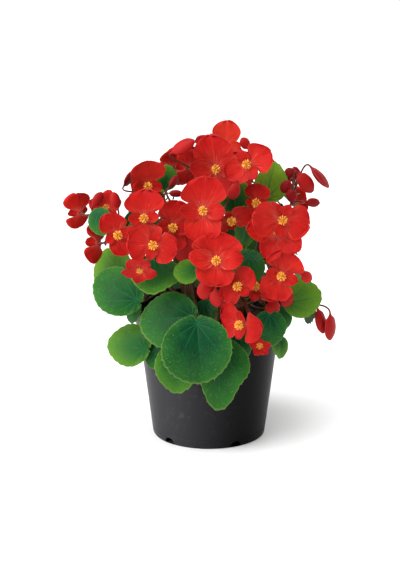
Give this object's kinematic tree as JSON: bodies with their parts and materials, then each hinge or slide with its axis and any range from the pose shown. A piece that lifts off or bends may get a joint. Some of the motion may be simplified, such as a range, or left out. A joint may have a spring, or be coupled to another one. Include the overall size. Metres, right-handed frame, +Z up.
{
  "type": "potted begonia",
  "caption": "Wax begonia with waved leaves, red four-petalled flowers with yellow stamens and hanging buds, in a tapered black nursery pot.",
  "frame": {"origin": "centre of the underside of the pot's foot, on the surface it stands on", "axes": "+Z up out of the pot, -Y towards the viewer's side, where the flowers crowd, +X to the viewer's right"},
  "size_m": [0.2612, 0.2491, 0.321],
  "materials": {
    "black_plastic": "satin black moulded polypropylene",
    "potting_soil": "loose dark peat, matt",
    "leaf_green": "waxy glossy leaf and succulent stem",
    "petal_red": "soft sheen, fine radial veins",
    "stamen_yellow": "matt pollen"
  },
  "bodies": {
    "root": {"pot": "black_plastic", "soil": "potting_soil", "spray_back": "petal_red", "spray_back_left": "petal_red", "spray_back_right": "petal_red", "spray_hanging": "petal_red", "spray_left": "petal_red", "spray_left_middle": "petal_red", "spray_low_front": "petal_red", "spray_middle": "petal_red", "spray_right_low": "petal_red", "spray_right_middle": "petal_red", "spray_top": "petal_red", "spray_upper_left": "petal_red", "spray_upper_right": "petal_red", "stamens_back_1": "stamen_yellow", "stamens_back_2": "stamen_yellow", "stamens_back_left_1": "stamen_yellow", "stamens_back_left_2": "stamen_yellow", "stamens_back_left_3": "stamen_yellow", "stamens_back_left_4": "stamen_yellow", "stamens_back_right_1": "stamen_yellow", "stamens_back_right_2": "stamen_yellow", "stamens_back_right_3": "stamen_yellow", "stamens_left_1": "stamen_yellow", "stamens_left_2": "stamen_yellow", "stamens_left_3": "stamen_yellow", "stamens_left_4": "stamen_yellow", "stamens_left_middle_1": "stamen_yellow", "stamens_left_middle_2": "stamen_yellow", "stamens_left_middle_3": "stamen_yellow", "stamens_low_front_1": "stamen_yellow", "stamens_low_front_2": "stamen_yellow", "stamens_low_front_3": "stamen_yellow", "stamens_low_front_4": "stamen_yellow", "stamens_middle_1": "stamen_yellow", "stamens_middle_2": "stamen_yellow", "stamens_middle_3": "stamen_yellow", "stamens_right_low_1": "stamen_yellow", "stamens_right_middle_1": "stamen_yellow", "stamens_right_middle_2": "stamen_yellow", "stamens_right_middle_3": "stamen_yellow", "stamens_top_1": "stamen_yellow", "stamens_top_2": "stamen_yellow", "stamens_top_3": "stamen_yellow", "stamens_top_4": "stamen_yellow", "stamens_upper_left_1": "stamen_yellow", "stamens_upper_left_2": "stamen_yellow", "stem_back": "leaf_green", "stem_back_left": "leaf_green", "stem_back_right": "leaf_green", "stem_centre": "leaf_green", "stem_centre_left": "leaf_green", "stem_centre_right": "leaf_green", "stem_left": "leaf_green", "stem_left_front": "leaf_green", "stem_right": "leaf_green", "stem_right_front": "leaf_green"}
  },
  "joints": []
}
